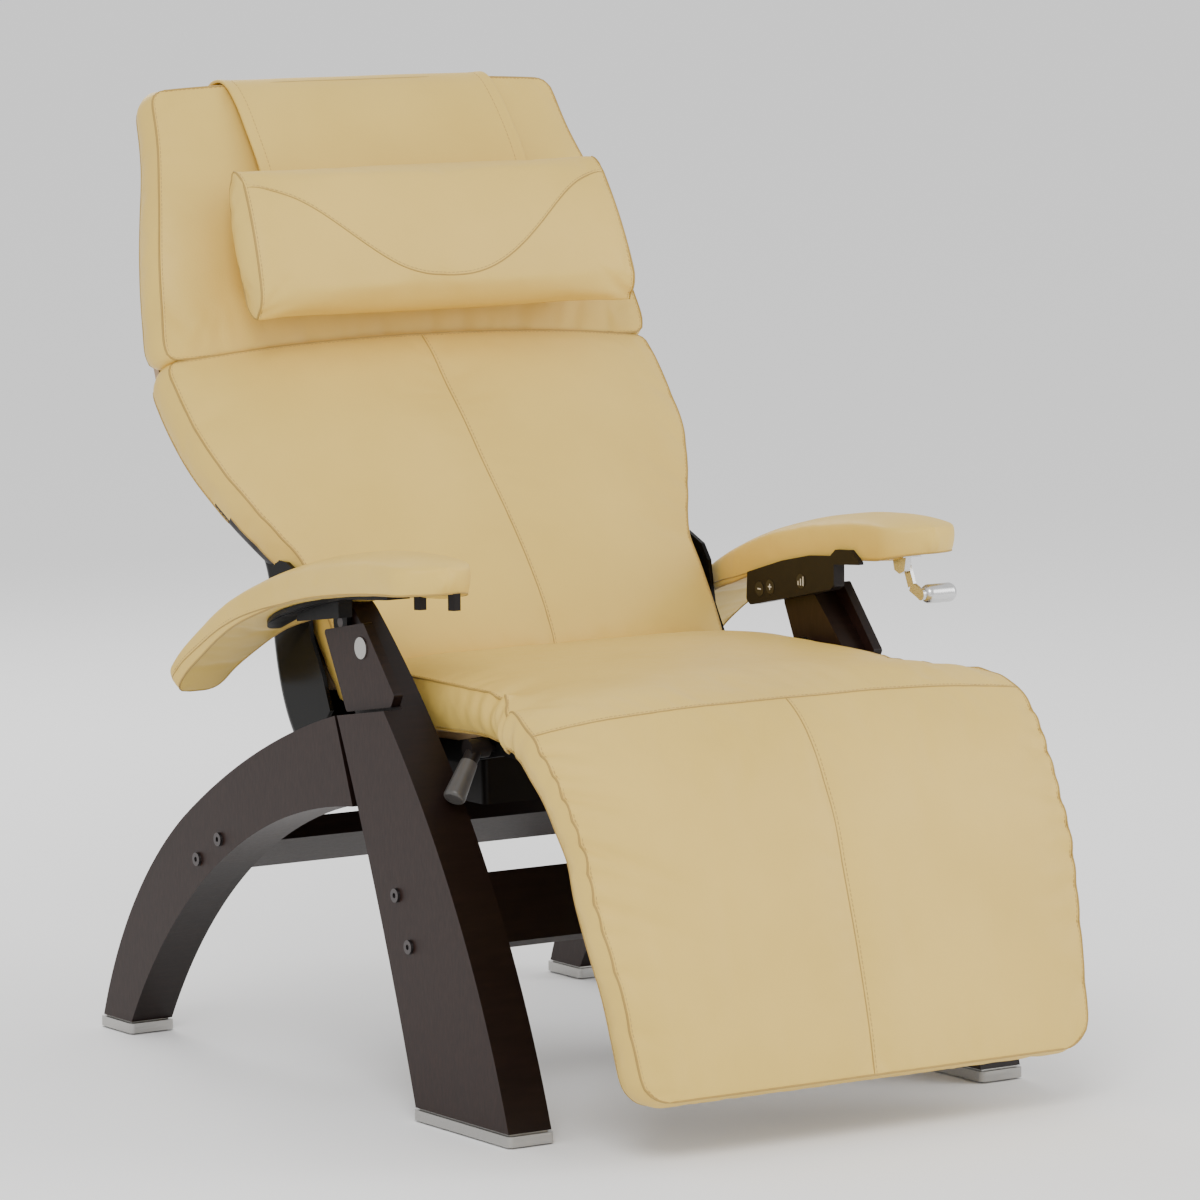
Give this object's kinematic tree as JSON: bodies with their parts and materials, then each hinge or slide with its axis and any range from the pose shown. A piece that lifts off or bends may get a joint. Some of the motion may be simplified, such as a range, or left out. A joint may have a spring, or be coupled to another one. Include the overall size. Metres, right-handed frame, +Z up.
{
  "type": "zero-gravity massage recliner chair",
  "caption": "Reclining massage chair: cream leather seat, back, head and leg rest on a dark bentwood frame, with tilting padded arms and head pillow.",
  "frame": {"origin": "on the floor at the centre of the overall bounding box", "axes": "+Z up; the sitter faces -Y, so -Y is the front and leg rest end and +Y the head end; +X is the sitter's left, the side of the recline lever and control pod"},
  "size_m": [0.766, 1.1496, 1.137],
  "materials": {
    "espresso_wood": "laminated hardwood stained very dark espresso, satin lacquer",
    "brushed_nickel": "brushed nickel, satin",
    "foot_rubber": "dense black rubber",
    "bolt_steel": "zinc plated steel",
    "bush_bronze": "sintered bronze, oiled",
    "black_steel": "black powder coat",
    "polished_rod": "ground and chromed",
    "satin_chrome": "satin chrome",
    "cream_leather": "cream upholstery leather, fine grain, soft sheen",
    "black_plastic": "black moulded plastic",
    "button_grey": "grey moulded keys",
    "plywood": "birch plywood, unfinished",
    "gloss_black_shell": "gloss black moulded shell",
    "motor_case": "grey painted motor case",
    "grip_grey": "grey soft-touch grip"
  },
  "bodies": {
    "base": {"front_leg_right": "espresso_wood", "front_leg_left": "espresso_wood", "rear_leg_right": "espresso_wood", "rear_leg_left": "espresso_wood", "arm_post_cover_right": "espresso_wood", "arm_post_cover_left": "espresso_wood", "cover_badges": "brushed_nickel", "foot_caps_front": "brushed_nickel", "foot_caps_rear": "brushed_nickel", "foot_pads": "foot_rubber", "front_rail": "espresso_wood", "rear_rail": "espresso_wood", "leg_bolts": "bolt_steel", "pivot_bushes": "bush_bronze", "lock_bracket": "black_steel"},
    "recliner": {"seat_frame": "black_steel", "seat_bracket_right": "black_steel", "seat_bracket_left": "black_steel", "pivot_pins": "bolt_steel", "seat_pan": "plywood", "back_board": "plywood", "back_posts": "black_steel", "hip_shell": "gloss_black_shell", "back_cover": "gloss_black_shell", "motor_saddles": "black_steel", "massage_motors": "motor_case", "control_box": "black_plastic", "power_inlet": "black_plastic", "seat_cushion": "cream_leather", "back_cushion": "cream_leather", "head_cushion": "cream_leather", "head_strap": "cream_leather"},
    "arm_right": {"arm_carrier_right": "black_steel", "arm_pin_right": "bolt_steel", "arm_pad_right": "cream_leather", "pad_studs": "black_plastic"},
    "arm_left": {"arm_carrier_left": "black_steel", "arm_pin_left": "bolt_steel", "arm_pad_left": "cream_leather", "control_pod": "black_plastic", "lever_bracket": "satin_chrome"},
    "legrest": {"legrest_cushion": "cream_leather", "legrest_board": "plywood", "legrest_frame": "black_steel", "knee_pins": "bolt_steel"},
    "recline_lever": {"recline_lever": "satin_chrome", "recline_grip": "satin_chrome"},
    "leg_lever": {"leg_lever": "black_plastic", "leg_lever_grip": "grip_grey"},
    "pillow": {"pillow": "cream_leather"},
    "counterweight": {"counterweight": "cream_leather"},
    "button_minus": {"button_minus": "button_grey"},
    "button_plus": {"button_plus": "button_grey"},
    "button_mode": {"button_mode": "button_grey"},
    "massage_weight_right": {"massage_weight_right": "black_steel"},
    "massage_weight_left": {"massage_weight_left": "black_steel"},
    "lock_housing": {"lock_housing": "black_steel"},
    "lock_rod": {"lock_rod": "polished_rod"},
    "strut_tube": {"strut_tube": "black_steel"},
    "strut_rod": {"strut_rod": "polished_rod"}
  },
  "joints": [
    {"name": "recline", "type": "hinge", "parent": "base", "child": "recliner", "pos_m": [0, -0.025, 0.465], "axis": [-1, 0, 0], "range_deg": [0, 36]},
    {"name": "arm_tilt_right", "type": "hinge", "parent": "base", "child": "arm_right", "pos_m": [-0.31, 0.012, 0.545], "axis": [-1, 0, 0], "range_deg": [0, 16.2]},
    {"name": "arm_tilt_left", "type": "hinge", "parent": "base", "child": "arm_left", "pos_m": [0.31, 0.012, 0.545], "axis": [-1, 0, 0], "range_deg": [0, 16.2]},
    {"name": "legrest_tilt", "type": "hinge", "parent": "recliner", "child": "legrest", "pos_m": [0, -0.385, 0.43], "axis": [-1, 0, 0], "range_deg": [0, 30]},
    {"name": "recline_lever_pull", "type": "hinge", "parent": "arm_left", "child": "recline_lever", "pos_m": [0.318, -0.186, 0.583], "axis": [-1, 0, 0], "range_deg": [0, 30], "stiffness_Nm_per_rad": 0.5, "springref_deg": -8.59},
    {"name": "leg_lever_pull", "type": "hinge", "parent": "recliner", "child": "leg_lever", "pos_m": [-0.27, -0.186, 0.418], "axis": [-1, 0, 0], "range_deg": [0, 20], "stiffness_Nm_per_rad": 0.5, "springref_deg": -14.32},
    {"name": "pillow_slide", "type": "slide", "parent": "recliner", "child": "pillow", "axis": [0, 0.3499, 0.9368], "range_m": [-0.045, 0.045]},
    {"name": "counterweight_slide", "type": "slide", "parent": "recliner", "child": "counterweight", "axis": [0, 0.4538, 0.8911], "range_m": [-0.045, 0.045]},
    {"name": "button_minus_press", "type": "slide", "parent": "arm_left", "child": "button_minus", "axis": [1, 0, 0], "range_m": [0, 0.0012], "stiffness_N_per_m": 600, "springref_m": -0.0005},
    {"name": "button_plus_press", "type": "slide", "parent": "arm_left", "child": "button_plus", "axis": [1, 0, 0], "range_m": [0, 0.0012], "stiffness_N_per_m": 600, "springref_m": -0.0005},
    {"name": "button_mode_press", "type": "slide", "parent": "arm_left", "child": "button_mode", "axis": [1, 0, 0], "range_m": [0, 0.0012], "stiffness_N_per_m": 600, "springref_m": -0.0005},
    {"name": "massage_spin_right", "type": "hinge", "parent": "recliner", "child": "massage_weight_right", "pos_m": [-0.147, 0.1895, 0.463], "axis": [1, 0, 0], "continuous": true},
    {"name": "massage_spin_left", "type": "hinge", "parent": "recliner", "child": "massage_weight_left", "pos_m": [0.147, 0.1895, 0.463], "axis": [1, 0, 0], "continuous": true},
    {"name": "lock_swing", "type": "hinge", "parent": "base", "child": "lock_housing", "pos_m": [0, -0.07, 0.238], "axis": [-1, 0, 0], "range_deg": [-3.04, 0.05]},
    {"name": "lock_stroke", "type": "slide", "parent": "lock_housing", "child": "lock_rod", "axis": [0, -0.2968, 0.9549], "range_m": [0, 0.07336]},
    {"name": "strut_swing", "type": "hinge", "parent": "recliner", "child": "strut_tube", "pos_m": [0.08, -0.058, 0.385], "axis": [-1, 0, 0], "range_deg": [-0.05, 5.06]},
    {"name": "strut_stroke", "type": "slide", "parent": "strut_tube", "child": "strut_rod", "axis": [0, -0.9887, -0.1502], "range_m": [0, 0.04312]}
  ],
  "couplings": [
    {"joint": "arm_tilt_right", "follows": "recline", "ratio": 0.44},
    {"joint": "arm_tilt_left", "follows": "recline", "ratio": 0.44},
    {"joint": "counterweight_slide", "follows": "pillow_slide", "ratio": -1},
    {"joint": "lock_swing", "follows": "recline", "ratio": -0.08301},
    {"joint": "lock_stroke", "follows": "recline", "m_per_rad": 0.11596},
    {"joint": "strut_swing", "follows": "legrest_tilt", "ratio": 0.167},
    {"joint": "strut_stroke", "follows": "legrest_tilt", "m_per_rad": 0.081396}
  ]
}
